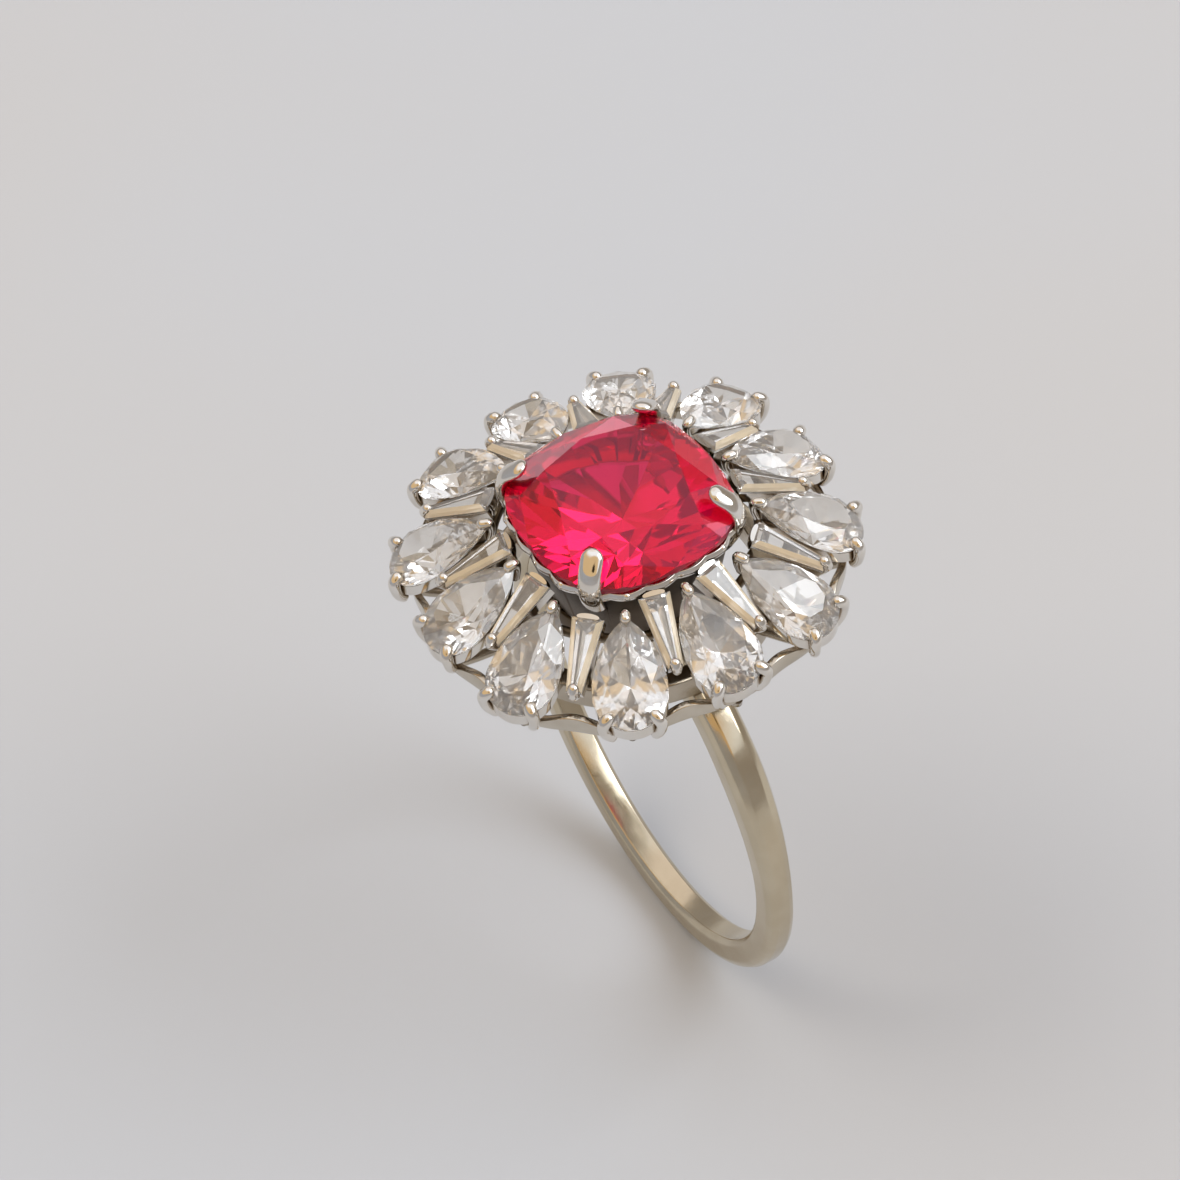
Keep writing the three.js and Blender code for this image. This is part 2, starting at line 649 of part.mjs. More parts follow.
const bandRoom = bandGeometry(FIT);
const centreStone = centreStoneGeometry(turn(8, 22.5), 32);
const pearStone = pearStoneGeometry(PEAR_MIDS);
const pearSetting = pearSettingGeometry();
const baguetteStone = baguetteStoneGeometry();
const baguetteSetting = baguetteSettingGeometry(baguetteStone);

addPiece("shank", bandGeometry(), BAND_METAL);
addPiece("gallery_base", galleryBaseGeometry(bandRoom), SETTING_METAL);
addPiece("inner_rail", innerRailGeometry(), SETTING_METAL);

for (let i = 0; i < PEAR_COUNT; i += 1) {
  const { angle, spot } = pearSpot(i);
  placeOnHalo(addPiece(`pear_stone_${two(i)}`, pearStone, CLEAR_STONE), angle, spot);
  placeOnHalo(addPiece(`pear_setting_${two(i)}`, pearSetting, SETTING_METAL), angle, spot);
}
for (let i = 0; i < PEAR_COUNT; i += 1) {
  const { angle, spot } = baguetteSpot(i);
  placeOnHalo(addPiece(`baguette_stone_${two(i)}`, baguetteStone, CLEAR_STONE), angle, spot);
  placeOnHalo(addPiece(`baguette_setting_${two(i)}`, baguetteSetting, SETTING_METAL), angle, spot);
}

addPiece("outer_rail", outerRailGeometry(), SETTING_METAL);
addPiece("centre_basket", centreBasketGeometry(bandRoom), SETTING_METAL);
addPiece("centre_stone", centreStone, RED_STONE)
  .position.set(0, 0, HALO_Z + CENTRE.girdleHeight);

export default part;
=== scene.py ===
import math

import bmesh
import bpy
import numpy as np
from mathutils import Matrix, Vector


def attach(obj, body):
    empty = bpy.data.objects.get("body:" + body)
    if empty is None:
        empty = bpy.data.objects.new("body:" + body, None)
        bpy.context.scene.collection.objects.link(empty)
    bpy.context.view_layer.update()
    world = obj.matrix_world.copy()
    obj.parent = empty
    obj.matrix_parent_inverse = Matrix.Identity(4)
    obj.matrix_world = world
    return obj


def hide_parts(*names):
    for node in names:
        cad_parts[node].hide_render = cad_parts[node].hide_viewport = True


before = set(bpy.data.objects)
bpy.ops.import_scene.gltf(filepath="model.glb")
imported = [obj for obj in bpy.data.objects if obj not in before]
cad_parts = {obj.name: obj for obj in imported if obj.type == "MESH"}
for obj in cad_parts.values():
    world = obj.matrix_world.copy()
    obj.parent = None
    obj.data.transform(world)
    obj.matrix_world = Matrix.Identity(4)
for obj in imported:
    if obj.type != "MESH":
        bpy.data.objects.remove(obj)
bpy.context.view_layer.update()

# A cocktail ring: a red cushion-cut stone in four claws, a sloping halo of clear pears and
# tapered baguettes, and a plain band. Shapes are worked out in millimetres in the CAD frame
# and scaled to metres when they become meshes.

MM = 0.001

# ---- sizes -----------------------------------------------------------------------------------

FIT = 0.02

BORE_RADIUS = 8.65
BAND_THICKNESS = (1.3, 1.5, 1.1)  # palm, shoulder, under the head
BAND_WIDTH = (1.2, 1.55, 1.4)
HOOP_Z = BORE_RADIUS + BAND_THICKNESS[0]

HALO_Z = HOOP_Z + 11.34
HALO_TILT = math.radians(26)
PEAR_COUNT = 12
PEAR_STEP = 360 / PEAR_COUNT
CORNER_SPREAD = 0.72
SIDE_PEAR = (6.67, 0.82)  # distance from the middle, height above HALO_Z
CORNER_PEAR = (7.04, 0.66)
SIDE_BAGUETTE = (5.77, 1.22)
CORNER_BAGUETTE = (6.46, 0.92)

CUSHION_HALF = (4.14, 3.96)
CUSHION_ROUNDNESS = 2.75
CENTRE_GIRDLE_HEIGHT = 2.39
CENTRE_GIRDLE = 0.3
RIM_TOP = CENTRE_GIRDLE_HEIGHT - CENTRE_GIRDLE / 2 - FIT
SCALLOPS, SCALLOP_DEPTH = 20, 0.035

PEAR_LENGTH, PEAR_WIDTH, PEAR_GIRDLE = 4.36, 2.84, 0.12
PEAR_HEAD = PEAR_WIDTH / 2
PEAR_HEAD_X = PEAR_LENGTH / 2 - PEAR_HEAD
PEAR_REACH = PEAR_HEAD_X + PEAR_LENGTH / 2
PEAR_SIDE = (PEAR_REACH ** 2 + PEAR_HEAD ** 2) / (2 * PEAR_HEAD)

BAGUETTE_LENGTH, BAGUETTE_WIDE, BAGUETTE_NARROW = 2.9, 1.24, 0.6
BAGUETTE_SLOPE = (BAGUETTE_WIDE - BAGUETTE_NARROW) / 2 / BAGUETTE_LENGTH

# Settings. A spine lists (outward step from the stone's edge, height above its girdle).
PEAR_WALL = {"outer": 0.985, "thickness": 0.3, "seat_drop": 0.345, "foot_outer": 0.97, "foot": -0.6}
PEAR_CLAW = {
    "angle": math.radians(42.5), "radius": 0.22, "tip": 0.25,
    "spine": ((-0.16, -0.86), (0.08, -0.5), (0.2, -0.08), (0.1, 0.17), (-0.1, 0.22)),
}
TIP_CLAW = {
    "radius": 0.15, "tip": 0.21, "spine": ((0.02, -0.55), (0.14, -0.2), (0.12, 0.1), (-0.12, 0.22)),
}
BAGUETTE_WALL = {"inset": 0.22, "top": -0.03, "bottom": -0.52}
BAGUETTE_CLAW = {
    "radius": 0.15, "tip": 0.22, "spine": ((-0.06, -0.5), (0.08, -0.2), (0.1, 0.1), (-0.1, 0.24)),
}
BAGUETTE_LIP = {"radius": 0.44, "flat": 0.3, "spine": ((-0.1, -0.5), (0.06, -0.2), (0.05, 0.1))}

# The centre basket. The rim and cup are shares of the cushion's outline, with heights in mm.
RIM_SECTION = ((0.985, 0), (0.9, -0.36), (0.92, -0.46), (0.99, -0.4), (1.01, -0.18))
CUP = {"upper": 0.93, "lower": 0.76, "thickness": 0.07, "below_rim": 0.38, "bottom": -1.3}
BASKET_FOOT = {"inner": 2.5, "outer": 3.35, "top": -1.2, "bottom": -2.0}
BEAD = {"radius": 0.18, "below_rim": 0.18, "out": 0.036, "angle": math.radians(28)}
CENTRE_CLAW = {"radius": 0.42, "tip": 0.45, "flat": 0.23 / 0.42}


# ---- shells: closed surfaces as (points, faces) ------------------------------------------------

def lerp(a, b, t):
    return a + (b - a) * t


def smoothstep(x, low, high):
    t = min(1.0, max(0.0, (x - low) / (high - low)))
    return t * t * (3 - 2 * t)


def turn(count, start=0.0):
    """Equally spaced directions round a full turn, the first at start degrees."""
    return [math.radians(start + i * 360 / count) for i in range(count)]


def rounded(corners, radius, steps=4):
    """A closed 2-D outline with each corner swapped for a small curve."""
    out = []
    count = len(corners)
    for i, corner in enumerate(corners):
        here = Vector(corner)
        before = Vector(corners[i - 1]) - here
        after = Vector(corners[(i + 1) % count]) - here
        reach = min(radius, before.length * 0.48, after.length * 0.48)
        a = here + before.normalized() * reach
        b = here + after.normalized() * reach
        for k in range(steps + 1):
            t = k / steps
            out.append((1 - t) ** 2 * a + 2 * t * (1 - t) * here + t * t * b)
    return out


def ring_shell(section, segments):
    """A solid ring round Z whose section, a closed list of (radius, z), goes all the way round."""
    points, faces = [], []
    count = len(section)
    for a in turn(segments):
        points += [Vector((r * math.cos(a), r * math.sin(a), z)) for r, z in section]
    for i in range(segments):
        here, ahead = i * count, ((i + 1) % segments) * count
        for k in range(count):
            n = (k + 1) % count
            faces.append((here + k, ahead + k, ahead + n, here + n))
    return points, faces


def smooth_path(points, per_span=24):
    """Samples of a centripetal Catmull-Rom curve through the points, and how far along each is."""
    first = points[0] * 2 - points[1]
    last = points[-1] * 2 - points[-2]
    guide = [first, *points, last]
    dense = []
    for p0, p1, p2, p3 in zip(guide, guide[1:], guide[2:], guide[3:]):
        d0, d1, d2 = (max((b - a).length, 1e-6) ** 0.5 for a, b in ((p0, p1), (p1, p2), (p2, p3)))
        t1 = ((p1 - p0) / d0 - (p2 - p0) / (d0 + d1) + (p2 - p1) / d1) * d1
        t2 = ((p2 - p1) / d1 - (p3 - p1) / (d1 + d2) + (p3 - p2) / d2) * d1
        for i in range(per_span):
            t = i / per_span
            dense.append(
                p1 * (2 * t ** 3 - 3 * t ** 2 + 1) + t1 * (t ** 3 - 2 * t ** 2 + t)
                + p2 * (3 * t ** 2 - 2 * t ** 3) + t2 * (t ** 3 - t ** 2)
            )
    dense.append(points[-1])
    xyz = np.array([tuple(p) for p in dense])
    far = np.concatenate([[0], np.cumsum(np.linalg.norm(np.diff(xyz, axis=0), axis=1))])
    return xyz, far


def bent_bar(points, profile_at, side=(0, 1, 0), sides=24, flat=1.0):
    """A round bar turned to a profile of (radius, distance along), bent along a smooth curve.
    side is square to the curve's plane, and flat thins the bar in that plane."""
    xyz, far = smooth_path([Vector(p) for p in points])
    length = far[-1]
    side = Vector(side)

    def place(s):
        return Vector([float(np.interp(s, far, xyz[:, k])) for k in range(3)])

    points, faces = [], []
    profile = profile_at(length)
    for radius, s in profile:
        inside = min(max(s, 0.0), length)
        step = length * 0.01
        ahead = place(min(inside + step, length)) - place(max(inside - step, 0.0))
        tangent = ahead.normalized()
        across = side.cross(tangent).normalized()
        middle = place(inside) + tangent * (s - inside)
        if radius == 0:
            points.append(middle)
            continue
        for a in turn(sides):
            points.append(middle + side * radius * math.sin(a) + across * radius * flat * math.cos(a))
    rows = len(profile) - 2
    for row in range(rows - 1):
        low, high = 1 + row * sides, 1 + (row + 1) * sides
        for k in range(sides):
            n = (k + 1) % sides
            faces.append((low + k, low + n, high + n, high + k))
    top = len(points) - 1
    base = 1 + (rows - 1) * sides
    for k in range(sides):
        n = (k + 1) % sides
        faces.append((0, 1 + n, 1 + k))
        faces.append((top, base + k, base + n))
    return points, faces


def plain_bar(radius):
    """The same radius all along, with square ends."""
    steps = 12

    def profile(length):
        return [
            (0, 0), (radius, 0), *[(radius, length * i / steps) for i in range(1, steps)],
            (radius, length), (0, length),
        ]
    return profile


def claw_bar(radius, tip):
    """Rounded at the foot, swelling near the end to a round tip."""
    body_steps = 18

    def profile(length):
        rows = [(0, -radius)]
        for degrees in range(72, 0, -18):
            a = math.radians(degrees)
            rows.append((radius * math.cos(a), -radius * math.sin(a)))
        for i in range(body_steps + 1):
            share = i / body_steps
            swell = smoothstep(share, 0.45, 0.95)
            rows.append((lerp(radius, tip, swell), share * (length - 0.25 * tip)))
        for degrees in range(0, 90, 13):
            a = math.radians(degrees)
            rows.append((tip * math.cos(a), length + tip * math.sin(a)))
        rows.append((0, length + tip))
        return rows
    return profile


def ball(centre, radius):
    """A sphere, turned as a very short bar on an upright spine."""
    middle = 0.5
    rows = [(0, middle - radius)]
    steps = 14
    for i in range(1, steps):
        a = math.radians(-90 + 180 * i / steps)
        rows.append((radius * math.cos(a), middle + radius * math.sin(a)))
    rows.append((0, middle + radius))
    spine = [(0, 0, 0), (0, 0, middle), (0, 0, 2 * middle)]
    points, faces = bent_bar(spine, lambda length: rows)
    shift = Vector(centre) - Vector((0, 0, middle))
    return [p + shift for p in points], faces


def moved(shell, matrix):
    points, faces = shell
    return [matrix @ p for p in points], faces


def bend(shell, move):
    points, faces = shell
    return [move(p) for p in points], faces


# ---- meshes and pieces ------------------------------------------------------------------------

def mesh_from(shell, name, scale=MM):
    points, faces = shell
    mesh = bpy.data.meshes.new(name)
    mesh.from_pydata([p * scale for p in points], [], faces)
    edit = bmesh.new()
    edit.from_mesh(mesh)
    bmesh.ops.recalc_face_normals(edit, faces=edit.faces)
    edit.to_mesh(mesh)
    edit.free()
    return mesh


def fuse(name, shells, rooms=()):
    """One mesh from overlapping shells, with the rooms cut out of it. Works in millimetres."""
    helpers = []

    def helper(shell):
        thing = bpy.data.objects.new(name, mesh_from(shell, name, 1.0))
        bpy.context.scene.collection.objects.link(thing)
        helpers.append(thing)
        return thing

    base = helper(shells[0])
    for operation, group in (("UNION", shells[1:]), ("DIFFERENCE", rooms)):
        for shell in group:
            cut = base.modifiers.new(operation, "BOOLEAN")
            cut.operation = operation
            cut.solver = "MANIFOLD"
            cut.object = helper(shell)
    bpy.context.view_layer.update()
    graph = bpy.context.evaluated_depsgraph_get()
    mesh = bpy.data.meshes.new_from_object(base.evaluated_get(graph))
    mesh.name = name
    for thing in helpers:
        old = thing.data
        bpy.data.objects.remove(thing)
        bpy.data.meshes.remove(old)
    mesh.transform(Matrix.Scale(MM, 4))
    return mesh


def polish(mesh, crease=40):
    """Smooth shading that stays crisp at edges sharper than crease degrees."""
    mesh.shade_smooth()
    mesh.set_sharp_from_angle(angle=math.radians(crease))
    return mesh


def add_piece(name, mesh, material, node):
    """A piece on the root body that stands for one CAD node."""
    piece = bpy.data.objects.new(name, mesh)
    bpy.context.scene.collection.objects.link(piece)
    mesh.materials.clear()
    mesh.materials.append(material)
    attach(piece, "root")
    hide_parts(node)
    return piece


def halo_place(angle, spot):
    """The frame of a halo stone, in millimetres: X outward, Z out of its table."""
    radius, height = spot
    return (
        Matrix.Translation((radius * math.cos(angle), radius * math.sin(angle), HALO_Z + height))
        @ Matrix.Rotation(angle, 4, "Z") @ Matrix.Rotation(HALO_TILT, 4, "Y")
    )


def in_metres(matrix):
    out = matrix.copy()
    out.translation = matrix.translation * MM
    return out


def room_for(node, place):
    """The CAD stone's shell in the frame of place, a little enlarged to clear the metal."""
    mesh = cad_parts[node].data
    back = place.inverted()
    same_point = 2e-7  # metres
    edit = bmesh.new()
    edit.from_mesh(mesh)
    bmesh.ops.remove_doubles(edit, verts=edit.verts, dist=same_point)
    points = [back @ (v.co / MM) * (1 + FIT / 2) for v in edit.verts]
    faces = [tuple(v.index for v in f.verts) for f in edit.faces]
    edit.free()
    return points, faces


# ---- procedural materials ---------------------------------------------------------------------

class Nodes:
    """A small helper for wiring a material's nodes."""

    def __init__(self, tree):
        self.tree = tree
        tree.nodes.clear()

    def add(self, kind, inputs=None, **settings):
        node = self.tree.nodes.new(kind)
        for key, value in settings.items():
            setattr(node, key, value)
        for key, value in (inputs or {}).items():
            self.plug(value, node.inputs[key])
        return node

    def plug(self, value, socket):
        if isinstance(value, bpy.types.NodeSocket):
            self.tree.links.new(value, socket)
        else:
            socket.default_value = value

    def math(self, operation, a, b):
        return self.add("ShaderNodeMath", {0: a, 1: b}, operation=operation).outputs[0]

    def dot(self, a, b):
        node = self.add("ShaderNodeVectorMath", {0: a, 1: b}, operation="DOT_PRODUCT")
        return node.outputs["Value"]

    def noise(self, vector, scale, detail=3.0, roughness=0.5):
        return self.add(
            "ShaderNodeTexNoise",
            {"Vector": vector, "Scale": scale, "Detail": detail, "Roughness": roughness},
        ).outputs["Fac"]

    def level(self, factor, low, high, out_low=0.0, out_high=1.0):
        """A smooth step from out_low to out_high as factor goes from low to high."""
        node = self.add("ShaderNodeMapRange", {
            "Value": factor, "From Min": low, "From Max": high,
            "To Min": out_low, "To Max": out_high,
        })
        node.interpolation_type = "SMOOTHSTEP"
        return node.outputs["Result"]

    def mix(self, factor, a, b):
        node = self.add("ShaderNodeMix", data_type="RGBA")
        self.plug(factor, node.inputs["Factor"])
        self.plug(a, node.inputs[6])
        self.plug(b, node.inputs[7])
        return node.outputs[2]


def new_material(name):
    material = bpy.data.materials.new(name)
    material.use_nodes = True
    return material, Nodes(material.node_tree)


def rgb(red, green, blue):
    """A colour given as screen values out of 255, as linear light."""
    def linear(c):
        c /= 255
        return c / 12.92 if c <= 0.04045 else ((c + 0.055) / 1.055) ** 2.4
    return (linear(red), linear(green), linear(blue), 1.0)


# The colour that metal turns to in its recesses: painted shade, with some tarnish.
TARNISH_AND_SHADE = rgb(150, 130, 104)

# Texture sizes, as noise scales per metre: 1000 gives features about 1 mm across.
CASTING_WAVES, POLISHING_GRIT, SCRATCHES = 900.0, 9000.0, 5200.0
GEM_LINES, GEM_CLOUDS = 3000.0, 420.0
FLOOR_MOTTLE = 14.0


def metal_material(name, colour, shade, roughness, brushed=0.0, reach=0.9, tarnish_and_shade=TARNISH_AND_SHADE):
    """Plated silver: soft casting waves, fine polishing scratches, and recesses painted dark,
    partly as tarnish and partly as painted shade. reach is how far away, in millimetres,
    neighbouring pieces still paint this shade on the metal."""
    material, n = new_material(name)
    where = n.add("ShaderNodeTexCoord").outputs["Object"]
    waves = n.noise(where, CASTING_WAVES, 2.0)
    grit = n.noise(where, POLISHING_GRIT, 3.0, 0.6)
    stretched = n.add("ShaderNodeMapping", {"Vector": where, "Scale": (1.0, 14.0, 1.0)}).outputs[0]
    scratches = n.noise(stretched, SCRATCHES, 2.0, 0.7)
    hidden = n.add("ShaderNodeAmbientOcclusion", {"Distance": reach * MM}, samples=8).outputs["AO"]
    open_air = n.level(hidden, 0.2, 0.8)
    tint = n.mix(n.level(waves, 0.3, 0.7, 0.0, 0.35), colour, shade)
    # Close to other pieces the base colour turns dark: painted shade, with some tarnish.
    base = n.mix(open_air, tarnish_and_shade, tint)
    rough = n.math("ADD", roughness, n.math("MULTIPLY", n.level(grit, 0.35, 0.75), 0.05))
    rough = n.math("ADD", rough, n.math("MULTIPLY", n.math("SUBTRACT", 1.0, open_air), 0.16))
    height = n.math("ADD", waves, n.math("MULTIPLY", scratches, 0.05 + brushed))
    bump = n.add("ShaderNodeBump", {"Height": height, "Strength": 0.25, "Distance": 0.05 * MM})
    shader = n.add("ShaderNodeBsdfPrincipled", {
        "Base Color": base, "Metallic": 1.0, "Roughness": rough, "Normal": bump.outputs[0],
    })
    n.add("ShaderNodeOutputMaterial", {"Surface": shader.outputs[0]})
    return material


def gem_material(name, colour, ior, clarity, absorb=None, frosted=0.0, glint=(1, 1, 1, 1)):
    """A polished stone: refraction, faint polishing lines, and tint that deepens with depth.
    clarity is the share of light that passes; the rest is scattered and makes it milky.
    glint tints the surface's own reflections where they are seen straight on."""
    material, n = new_material(name)
    where = n.add("ShaderNodeTexCoord").outputs["Object"]
    stretched = n.add("ShaderNodeMapping", {"Vector": where, "Scale": (1.0, 9.0, 4.0)}).outputs[0]
    lines = n.noise(stretched, GEM_LINES)
    rough = n.level(lines, 0.45, 0.8, frosted, frosted + 0.012)
    darker = tuple(c * 0.94 for c in colour[:3]) + (1.0,)
    body = n.mix(n.noise(where, GEM_CLOUDS), colour, darker)
    shader = n.add("ShaderNodeBsdfPrincipled", {
        "Base Color": body, "Roughness": rough, "IOR": ior, "Transmission Weight": clarity,
        "Specular Tint": glint,
    })
    output = n.add("ShaderNodeOutputMaterial", {"Surface": shader.outputs[0]})
    if absorb:
        shade, density = absorb
        volume = n.add("ShaderNodeVolumeAbsorption", {"Color": shade, "Density": density})
        n.tree.links.new(volume.outputs[0], output.inputs["Volume"])
    return material


def floor_material():
    """Pale grey-white satin, kept plain: faint cooler areas and a soft sheen."""
    material, n = new_material("pale_cloth")
    where = n.add("ShaderNodeTexCoord").outputs["Object"]
    mottle = n.noise(where, FLOOR_MOTTLE, 2.0)
    base = n.mix(n.level(mottle, 0.35, 0.65), rgb(181, 183, 187), rgb(180, 185, 193))
    shader = n.add("ShaderNodeBsdfPrincipled", {
        "Base Color": base, "Roughness": 0.62, "Sheen Weight": 0.15,
    })
    n.add("ShaderNodeOutputMaterial", {"Surface": shader.outputs[0]})
    return material


RED_DEPTH = ((0.95, 0.02, 0.24, 1), 150.0)  # the colour left by depth, and how fast
RED_IOR, CLEAR_IOR = 1.77, 1.88

BAND_METAL = metal_material(
    "band_metal", rgb(207, 195, 171), rgb(187, 172, 145), roughness=0.13, brushed=0.05,
)
SETTING_METAL = metal_material(
    "setting_metal", rgb(232, 228, 222), rgb(214, 205, 190), roughness=0.04, reach=0.7,
)
RIBBON_METAL = metal_material(
    "setting_metal_ribbon", rgb(208, 200, 186), rgb(174, 162, 142),
    roughness=0.06, brushed=0.05, reach=1.4,
)
# Gallery and inner wire under the halo: duller cast metal whose colour is also painted darker as
# shade.
CAST_METAL_AND_SHADE = metal_material(
    "setting_metal_inside_painted_shade", rgb(190, 180, 164), rgb(150, 136, 116),
    roughness=0.2, brushed=0.1, reach=2.2, tarnish_and_shade=rgb(98, 82, 62),
)
# The cup's outside under the centre stone: a dark brown that is painted shade.
CUP_PAINTED_SHADE_METAL = metal_material(
    "setting_metal_cup_painted_shade", rgb(96, 80, 60), rgb(70, 56, 40),
    roughness=0.4, brushed=0.1, reach=2.0, tarnish_and_shade=rgb(38, 29, 20),
)
CUP_MIRROR = metal_material(
    "setting_metal_mirror", rgb(236, 228, 216), rgb(222, 210, 194), roughness=0.1, reach=0.02,
)
RED_STONE = gem_material(
    "red_stone", (0.97, 0.02, 0.16, 1), RED_IOR,
    clarity=0.92, absorb=RED_DEPTH, glint=(1.0, 0.4, 0.55, 1),
)
RED_GIRDLE = gem_material(
    "red_girdle", (0.80, 0.04, 0.16, 1), RED_IOR, clarity=0.8, absorb=RED_DEPTH, frosted=0.3,
)
CLEAR_STONE = gem_material("clear_stone", (0.985, 0.968, 0.94, 1), CLEAR_IOR, clarity=0.91)
# Cream for the baguettes' long crown bevels: a painted warm reflection, not the stone's colour.
PAINTED_REFLECTION = gem_material("painted_reflection_facet", (0.98, 0.84, 0.62, 1), CLEAR_IOR, clarity=0.4)
CLEAR_GIRDLE = gem_material(
    "clear_girdle", (0.93, 0.92, 0.9, 1), 1.85, clarity=0.7, frosted=0.35,
)


# ---- stones: the CAD solids are the real cut, so they stay and take gem materials ---------------

def dress_stone(node, polished, frosted, axis, side=None):
    """Facets stay flat; the girdle, whose faces run along the stone's axis, is frosted.
    With a side direction, the crown bevels that face it either way take a painted warm reflection."""
    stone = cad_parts[node]
    mesh = stone.data
    mesh.materials.clear()
    for material in (polished, frosted, PAINTED_REFLECTION):
        mesh.materials.append(material)
    mesh.shade_flat()
    for face in mesh.polygons:
        up = face.normal.dot(axis)
        if abs(up) < 0.02:
            face.material_index = 1
        # Crown bevels towards the sides get the painted warm reflection.
        elif side is not None and up > 0.3 and abs(face.normal.dot(side)) > 0.5:
            face.material_index = 2
        else:
            face.material_index = 0


# ---- pear settings ------------------------------------------------------------------------------

def lean_down(p):
    """Below the girdle a setting goes straight down in the ring, so it leans in this frame."""
    if p.z < 0:
        p = Vector((p.x - p.z * math.tan(HALO_TILT), p.y, p.z))
    return p


def pear_radius(a):
    """How far the pear's outline is from its middle: a round head, then two long arcs."""
    x, y = math.cos(a), abs(math.sin(a))
    on_head = PEAR_HEAD_X * x + math.sqrt(max(PEAR_HEAD ** 2 - (PEAR_HEAD_X * y) ** 2, 0))
    if on_head * x >= PEAR_HEAD_X:
        return on_head
    drop = PEAR_SIDE - PEAR_HEAD
    along = PEAR_HEAD_X * x - drop * y
    return along + math.sqrt(along ** 2 + PEAR_SIDE ** 2 - PEAR_HEAD_X ** 2 - drop ** 2)


def pear_wall():
    inner = 1 - PEAR_WALL["thickness"] / PEAR_HEAD
    seat = -PEAR_GIRDLE / 2 - FIT
    foot = PEAR_WALL["foot"]
    section = rounded([
        (PEAR_WALL["outer"], seat), (inner, seat - PEAR_WALL["seat_drop"]), (inner, foot),
        (PEAR_WALL["foot_outer"], foot),
    ], 0.05)

    def follow(p):
        a = math.atan2(p.y, p.x)
        reach = math.hypot(p.x, p.y) * pear_radius(a)
        return lean_down(Vector((reach * math.cos(a), reach * math.sin(a), p.z)))

    return bend(ring_shell(section, 120), follow)


def pear_claw(side):
    angle = PEAR_CLAW["angle"]
    out = Vector((math.cos(angle), side * math.sin(angle), 0))
    edge = Vector((PEAR_HEAD_X, 0, 0)) + out * PEAR_HEAD
    spine = []
    for away, z in PEAR_CLAW["spine"]:
        p = edge + out * away
        spine.append(lean_down(Vector((p.x, p.y, z))))
    bar = claw_bar(PEAR_CLAW["radius"], PEAR_CLAW["tip"])
    return bent_bar(spine, bar, side=(-out.y, out.x, 0))


def tip_claw():
    edge = -PEAR_LENGTH / 2
    spine = [lean_down(Vector((edge - away, 0, z))) for away, z in TIP_CLAW["spine"]]
    return bent_bar(spine, claw_bar(TIP_CLAW["radius"], TIP_CLAW["tip"]), sides=20)


# ---- baguette settings --------------------------------------------------------------------------

def baguette_outline(inset):
    end = BAGUETTE_LENGTH / 2
    half = end - inset

    def width(x):
        return BAGUETTE_NARROW / 2 + (end - x) * BAGUETTE_SLOPE - inset

    corners = ((half, 1), (-half, 1), (-half, -1), (half, -1))
    return [Vector((x, side * width(x), 0)) for x, side in corners]


def baguette_walls():
    outer, inner = baguette_outline(FIT), baguette_outline(BAGUETTE_WALL["inset"])
    top, bottom = BAGUETTE_WALL["top"], BAGUETTE_WALL["bottom"]
    rings = [(outer, top), (outer, bottom), (inner, bottom), (inner, top)]
    points, faces = [], []
    for ring, z in rings:
        points += [Vector((p.x, p.y, z)) for p in ring]
    for i in range(4):
        here, ahead = i * 4, ((i + 1) % 4) * 4
        for k in range(4):
            n = (k + 1) % 4
            faces.append((here + k, here + n, ahead + n, ahead + k))
    return points, faces


def baguette_spine(outward, steps):
    """A spine at the stone's outer end when outward is 1, or at its inner end when it is -1."""
    edge = BAGUETTE_LENGTH / 2
    return [Vector((outward * (edge + away), 0, z)) for away, z in steps]


# ---- centre basket ------------------------------------------------------------------------------

def cushion_radius(a):
    """How far the cushion's outline is from its middle."""
    u = abs(math.cos(a) / CUSHION_HALF[0]) ** CUSHION_ROUNDNESS
    v = abs(math.sin(a) / CUSHION_HALF[1]) ** CUSHION_ROUNDNESS
    return (u + v) ** (-1 / CUSHION_ROUNDNESS)


def centre_claw(direction):
    """It rises from the foot, follows the cup outward, and closes over the stone's corner."""
    edge = cushion_radius(direction)
    foot = (BASKET_FOOT["inner"] + BASKET_FOOT["outer"]) / 2
    level = CENTRE_GIRDLE_HEIGHT
    spine = [
        Vector((r, 0, z)) for r, z in (
            (foot, -1.5), (3.2, -0.1), (edge - 0.25, 1.2), (edge + 0.16, level - 0.15),
            (edge + 0.02, level + 0.66), (edge - 0.52, level + 1.1),
        )
    ]
    bar = claw_bar(CENTRE_CLAW["radius"], CENTRE_CLAW["tip"])
    claw = bent_bar(spine, bar, flat=CENTRE_CLAW["flat"], sides=32)
    return moved(claw, Matrix.Rotation(direction, 4, "Z"))


def cushion_rail(section, scallop=0.0):
    """A rail that follows the cushion, with an edge of small scallops where scallop isn't 0."""
    def follow(p):
        a = math.atan2(p.y, p.x)
        wave = 1 + scallop * abs(math.sin(SCALLOPS / 2 * a))
        reach = math.hypot(p.x, p.y) * cushion_radius(a) * wave
        return Vector((reach * math.cos(a), reach * math.sin(a), p.z))
    return bend(ring_shell(rounded(section, 0.03), 240), follow)


def basket_cup():
    half = CUP["thickness"] / 2
    upper, lower = CUP["upper"], CUP["lower"]
    top, bottom = RIM_TOP - CUP["below_rim"], CUP["bottom"]
    return cushion_rail([
        (upper + half, top), (upper - half, top), (lower - half, bottom), (lower + half, bottom),
    ])


def basket_foot():
    inner, outer = BASKET_FOOT["inner"], BASKET_FOOT["outer"]
    top, bottom = BASKET_FOOT["top"], BASKET_FOOT["bottom"]
    corners = [(outer, top), (inner, top), (inner, bottom), (outer, bottom)]
    return ring_shell(rounded(corners, 0.08), 96)


